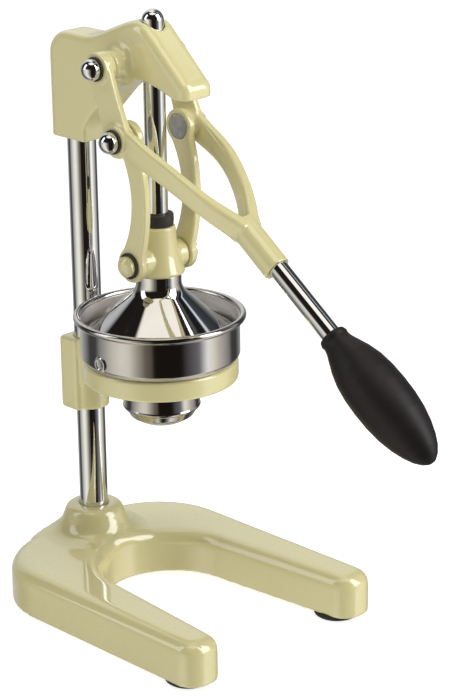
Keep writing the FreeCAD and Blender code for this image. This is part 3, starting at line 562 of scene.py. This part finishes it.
def stud(side, s):
    """Eyelet riveted through the bowl's wall; the left-hand one stands for both CAD studs."""
    low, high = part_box("bowl_studs")
    z = (low.z + high.z) / 2
    wall = size("juice_bowl").x / 2 / MM - 4.8
    origin = Vector((ROD.x + s * wall * MM, ROD.y, z))
    profile = [(0, -1.6, 0), (3.4, -1.6, 0.4), (3.4, -0.4, 0), (6.0, -0.4, 0.2), (6.2, 0.3, 0.4),
               (5.2, 1.3, 0.8), (4.0, 1.3, 0.6), (3.2, 0.5, 0.6), (0, 0.3, 0)]
    lathe("bowl_eyelet_" + side, profile, origin, BELL_STEEL, "bowl",
          ["bowl_studs"] if s < 0 else [], X_AXIS * s, 64)


for side, s in SIDES:
    stud(side, s)


# ---- pins, nuts, washers and caps on the pivots -----------------------------
def pivot(node, side, s):
    """A pivot node's name, the middle of its inner end, and its radius and length in mm."""
    full = "%s_%s" % (node, side)
    low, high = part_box(full)
    middle = centre(full)
    inner = low.x if s > 0 else high.x
    return full, Vector((inner, middle.y, middle.z)), (high.z - low.z) / 2 / MM, (high.x - low.x) / MM


def ball_cap(r, straight, height, edge):
    """Profile of a round cap: a short cylinder closed by part of a sphere."""
    rise = height - straight
    ball = (r * r + rise * rise) / (2 * rise)
    start = math.asin(min(1.0, r / ball))
    arc = [(ball * math.sin(start * (1 - k / 9)), height - ball + ball * math.cos(start * (1 - k / 9)), 0)
           for k in range(9)]
    return [(0, 0, 0), (r, 0, edge), (r, straight * 0.98, 0)] + arc + [(0, height, 0)]


def tube_profile(bore, r, length, edge):
    return [(bore, 0, 0), (r, 0, edge), (r, length, edge), (bore, length, 0)]


def nuts_and_washers(side, s):
    """The chromed cap nuts and dark washers at the lever's axle and at the crank pin."""
    axis = X_AXIS * s
    for nut in ("axle_cap_nut", "crank_cap_nut"):
        node, origin, r, length = pivot(nut, side, s)
        lathe(node + "_chromed", ball_cap(r, 0.4 * length, length, 0.3), origin, CHROME, "lever",
              [node], axis, 64)
    for ring in ("axle_washer", "crank_washer"):
        node, origin, r, length = pivot(ring, side, s)
        lathe(node + "_blacked", tube_profile(6.6, r, length, 0.3), origin, DARK_STEEL, "lever",
              [node], axis, 64)


def link_pivot(side, s):
    """The clip and the cap on a link's lower pin; the left-hand cap is enamelled."""
    axis = X_AXIS * s
    node, origin, r, length = pivot("link_ring", side, s)
    lathe(node + "_clip", tube_profile(6.2, r, length, 0.4), origin, DARK_STEEL, side + "_link",
          [node], axis, 64)
    finish, slot = (ENAMEL, "cream_enamel") if s < 0 else (CHROME, "chrome")
    node, origin, r, length = pivot("link_cap", side, s)
    lathe(node + "_button", ball_cap(r, 3.0, length, 0.4), origin, finish, side + "_link",
          [node], axis, 64)


def crank_pin(side, s):
    """Stepped pin: the link turns on its journal, and its stud goes out through the yoke."""
    node, origin, r, length = pivot("crank_pin", side, s)
    journal, stud_r = 7.0, 6.0
    profile = [(0, 0, 0), (r, 0, 0.5), (r, journal, 0.2), (stud_r, journal, 0),
               (stud_r, length, 0.5), (0, length, 0)]
    lathe(node + "_turned", profile, origin, ZINC, "lever", [node], X_AXIS * s, 64)


for side, s in SIDES:
    nuts_and_washers(side, s)
    link_pivot(side, s)
    crank_pin(side, s)


# ---- rubber -----------------------------------------------------------------
def buffer():
    low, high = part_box("rubber_buffer")
    r, length = size("rubber_buffer").x / 2 / MM, (high.z - low.z) / MM
    bore = 8.2
    profile = [(bore, 0, 0), (r - 0.4, 0, 0.5), (r, length * 0.5, 3), (r - 0.3, length, 0.9),
               (bore, length, 0.3)]
    lathe("rubber_buffer_ring", profile, at_rod(low.z), RUBBER, "press_head",
          ["rubber_buffer"])


def foot(node):
    """Rubber foot, with the recess for its screw's head in the underside."""
    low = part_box(node)[0]
    middle = centre(node)
    r, length = size(node).x / 2 / MM, size(node).z / MM
    recess_r, recess = 5.2, 2.0
    profile = [(0, recess, 0), (recess_r, recess, 0), (recess_r, 0.4, 0.4), (r - 1.6, 0, 0.8),
               (r, 1.2, 0.7), (r, length - 1.0, 0.6), (r - 1.0, length, 0.3), (0, length, 0)]
    lathe(node + "_pad", profile, Vector((middle.x, middle.y, low.z)), RUBBER, "stand",
          [node])


buffer()
for place in ("front", "rear"):
    for side, _ in SIDES:
        foot("foot_%s_%s" % (place, side))


# ---- CAD pieces that stay as they are ---------------------------------------
KEPT = {"foot_screws": ZINC, "post_bolt": ZINC, "post_washer": ZINC, "head_grub_screws": ZINC,
        "bracket_grub_screw": ZINC, "bell_washer": ZINC, "bell_nut": ZINC, "handle_pin": ZINC,
        "link_pin_left": ZINC, "link_pin_right": ZINC, "lever_axle": CHROME,
        "guide_bush": BRONZE, "axle_bush_left": BRONZE, "axle_bush_right": BRONZE}
for node, material in KEPT.items():
    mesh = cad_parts[node].data
    if not mesh.materials:
        mesh.materials.append(material)
    for index in range(len(mesh.materials)):
        mesh.materials[index] = material


# ---- camera -----------------------------------------------------------------
AZIMUTH, ELEVATION, ROLL = math.radians(-43.861), math.radians(19.281), math.radians(-0.842)
DISTANCE = 1.9051
LENS_PER_HEIGHT = 2433.3 / 700
TARGET = Vector((0.08907, POST.y - 0.060, 0.17907))


def camera():
    back = Vector((math.sin(AZIMUTH) * math.cos(ELEVATION), -math.cos(AZIMUTH) * math.cos(ELEVATION),
                   math.sin(ELEVATION)))
    level = Vector((math.cos(AZIMUTH), math.sin(AZIMUTH), 0))
    upward = back.cross(level)
    right = level * math.cos(ROLL) + upward * math.sin(ROLL)
    up = upward * math.cos(ROLL) - level * math.sin(ROLL)
    data = bpy.data.cameras.new("camera")
    data.sensor_fit = "VERTICAL"
    data.sensor_height = 24
    data.lens = LENS_PER_HEIGHT * data.sensor_height
    data.clip_end = 50
    obj = bpy.data.objects.new("camera", data)
    bpy.context.scene.collection.objects.link(obj)
    place = TARGET + back * DISTANCE
    obj.matrix_world = Matrix(((right.x, up.x, back.x, place.x), (right.y, up.y, back.y, place.y),
                               (right.z, up.z, back.z, place.z), (0, 0, 0, 1)))
    bpy.context.scene.camera = obj


camera()


# ---- light and floor --------------------------------------------------------
# What glossy surfaces see round the studio: degrees about Z, counted from the camera's side, with
# the grey or the colour there. The dark stretches are flags and the bright ones are panels.
LOW_BAND = [
    (-180, 0.45), (-155, 0.45), (-134, 0.24), (-122, 0.06), (-106, 0.06), (-96, 0.30),
    (-86, (0.44, 0.43, 0.40)), (-72, (0.68, 0.66, 0.58)), (-58, (0.82, 0.80, 0.72)),
    (-46, (0.76, 0.74, 0.65)), (-34, (0.45, 0.43, 0.36)), (-21, (0.165, 0.145, 0.125)),
    (-12, (0.110, 0.095, 0.080)), (-8, (0.011, 0.008, 0.006)), (32, (0.011, 0.009, 0.008)),
    (43, (0.085, 0.080, 0.085)), (59, (0.175, 0.175, 0.190)), (63, (0.36, 0.36, 0.38)),
    (74, (1.0, 1.0, 0.98)), (84, (0.88, 0.84, 0.76)), (96, (0.60, 0.56, 0.50)),
    (119, 0.25), (126, 0.06), (142, 0.05), (160, 0.26), (180, 0.45)]
MIDDLE_BAND = [
    (-180, (0.78, 0.78, 0.75)), (-160, (0.75, 0.75, 0.73)), (-134, (0.42, 0.44, 0.46)),
    (-127, (0.012, 0.010, 0.009)), (98, (0.014, 0.012, 0.011)), (104, (0.10, 0.10, 0.10)),
    (108, (0.012, 0.011, 0.011)), (119, (0.012, 0.013, 0.016)), (122, (0.9, 0.95, 1.0)),
    (126, (0.05, 0.06, 0.07)), (142, (0.030, 0.032, 0.038)), (156, (0.10, 0.10, 0.11)),
    (180, (0.78, 0.78, 0.75))]
HIGH_BAND = [
    (-180, (0.9, 0.88, 0.85)), (-128, (0.9, 0.88, 0.85)), (-118, 0.012), (-86, 0.012),
    (-78, (1.0, 0.95, 0.86)), (84, (1.0, 0.95, 0.86)), (90, 0.012), (122, 0.012),
    (132, (0.40, 0.34, 0.28)), (180, (0.9, 0.88, 0.85))]
# soft light is weaker from the camera's side than from the two flanks
SOFT_BAND = [(-180, 0.56), (-90, 0.62), (-35, 0.12), (30, 0.12), (85, 0.52), (180, 0.56)]
# where one band passes into the next, as a share of the way from the nadir to the zenith
LOW_TO_MIDDLE = (0.53, 0.60)
MIDDLE_TO_HIGH = (0.835, 0.85)
REFLECTED_STRENGTH = 1.15


def studio_turn(tree, direction):
    """Turn about Z from the camera's side, where a full circle is 0 to 1 and that side is 0.5."""
    backward = arithmetic(tree, "MULTIPLY", direction.outputs["Y"], -1)
    turn = arithmetic(tree, "ARCTAN2", direction.outputs["X"], backward)
    turn = arithmetic(tree, "SUBTRACT", turn, AZIMUTH)
    turn = arithmetic(tree, "DIVIDE", turn, 2 * math.pi)
    return arithmetic(tree, "FRACT", arithmetic(tree, "ADD", turn, 0.5))


def studio_height(tree, direction):
    """Height above the horizon, where straight down is 0 and straight up is 1."""
    height = arithmetic(tree, "ARCSINE", direction.outputs["Z"])
    return arithmetic(tree, "ADD", arithmetic(tree, "DIVIDE", height, math.pi), 0.5)


def band(tree, turn, stops):
    return ramp(tree, turn, [(degrees / 360 + 0.5, tone if isinstance(tone, tuple) else (tone,) * 3)
                             for degrees, tone in stops])


def stacked(tree, height, limits, below, above):
    """The lower colour up to the first limit, the upper one from the second."""
    mix = tree.nodes.new("ShaderNodeMix")
    mix.data_type = "RGBA"
    factor = ramp(tree, height, [(limits[0], (0, 0, 0)), (limits[1], (1, 1, 1))])
    tree.links.new(factor, mix.inputs["Factor"])
    tree.links.new(below, mix.inputs["A"])
    tree.links.new(above, mix.inputs["B"])
    return mix.outputs["Result"]


def background(tree, colour, strength=1.0):
    node = tree.nodes.new("ShaderNodeBackground")
    node.inputs["Strength"].default_value = strength
    if isinstance(colour, tuple):
        node.inputs["Color"].default_value = (*colour, 1)
    else:
        tree.links.new(colour, node.inputs["Color"])
    return node.outputs["Background"]


def by_ray(tree, ray, others, these):
    """One shader for this kind of ray, another for all other rays."""
    mix = tree.nodes.new("ShaderNodeMixShader")
    tree.links.new(tree.nodes.new("ShaderNodeLightPath").outputs[ray], mix.inputs["Fac"])
    tree.links.new(others, mix.inputs[1])
    tree.links.new(these, mix.inputs[2])
    return mix.outputs["Shader"]


def studio_world():
    """White room for the eye and for soft light; glossy things see a studio with dark flags."""
    world = bpy.data.worlds.new("studio")
    bpy.context.scene.world = world
    world.use_nodes = True
    tree = world.node_tree
    tree.nodes.clear()
    output = tree.nodes.new("ShaderNodeOutputWorld")
    coordinates = tree.nodes.new("ShaderNodeTexCoord")
    direction = tree.nodes.new("ShaderNodeSeparateXYZ")
    tree.links.new(coordinates.outputs["Generated"], direction.inputs["Vector"])
    turn, height = studio_turn(tree, direction), studio_height(tree, direction)
    low, middle = band(tree, turn, LOW_BAND), band(tree, turn, MIDDLE_BAND)
    lower = stacked(tree, height, LOW_TO_MIDDLE, low, middle)
    studio = stacked(tree, height, MIDDLE_TO_HIGH, lower, band(tree, turn, HIGH_BAND))
    soft = background(tree, band(tree, turn, SOFT_BAND))
    reflected = background(tree, studio, REFLECTED_STRENGTH)
    lit = by_ray(tree, "Is Glossy Ray", soft, reflected)
    seen = by_ray(tree, "Is Camera Ray", lit, background(tree, (1, 1, 1)))
    tree.links.new(seen, output.inputs["Surface"])


studio_world()


def floor():
    material, tree, shader = new_material("white_floor")
    place = place_coordinates(tree)
    colour = ramp(tree, noise(tree, place, 3, 2), [(0.3, (0.54, 0.54, 0.54)), (0.7, (0.56, 0.56, 0.56))])
    tree.links.new(colour, shader.inputs["Base Color"])
    shader.inputs["Roughness"].default_value = 0.9
    shader.inputs["Specular IOR Level"].default_value = 0.0
    shader.inputs["Emission Color"].default_value = (1, 1, 1, 1)
    shader.inputs["Emission Strength"].default_value = 0.80
    bm = bmesh.new()
    bmesh.ops.create_circle(bm, cap_ends=True, segments=96, radius=9)
    mesh = bpy.data.meshes.new("floor")
    bm.to_mesh(mesh)
    bm.free()
    mesh.materials.append(material)
    obj = bpy.data.objects.new("floor", mesh)
    bpy.context.scene.collection.objects.link(obj)
    obj.location.z = FLOOR_Z - 0.2 * MM
    obj.visible_glossy = False


floor()


def area_light(name, turn, height, distance, width, depth, power, glossy=True):
    """A softbox that looks at the object; turn and height in degrees round the camera's side."""
    data = bpy.data.lights.new(name, "AREA")
    data.shape = "RECTANGLE"
    data.size, data.size_y = width, depth
    data.energy = power
    obj = bpy.data.objects.new(name, data)
    bpy.context.scene.collection.objects.link(obj)
    azimuth, elevation = AZIMUTH + math.radians(turn), math.radians(height)
    away = Vector((math.sin(azimuth) * math.cos(elevation), -math.cos(azimuth) * math.cos(elevation),
                   math.sin(elevation)))
    aim = Vector((0, 0, 0.2))
    obj.location = aim + away * distance
    obj.rotation_euler = away.to_track_quat("Z", "Y").to_euler()
    obj.visible_glossy = glossy


area_light("key_softbox", 74, 32, 1.8, 1.0, 1.8, 22)
area_light("top_softbox", 10, 82, 1.5, 0.9, 0.9, 8, False)
area_light("fill_softbox", -84, 30, 2.2, 0.8, 1.6, 6)

bpy.context.scene.view_settings.view_transform = "Standard"
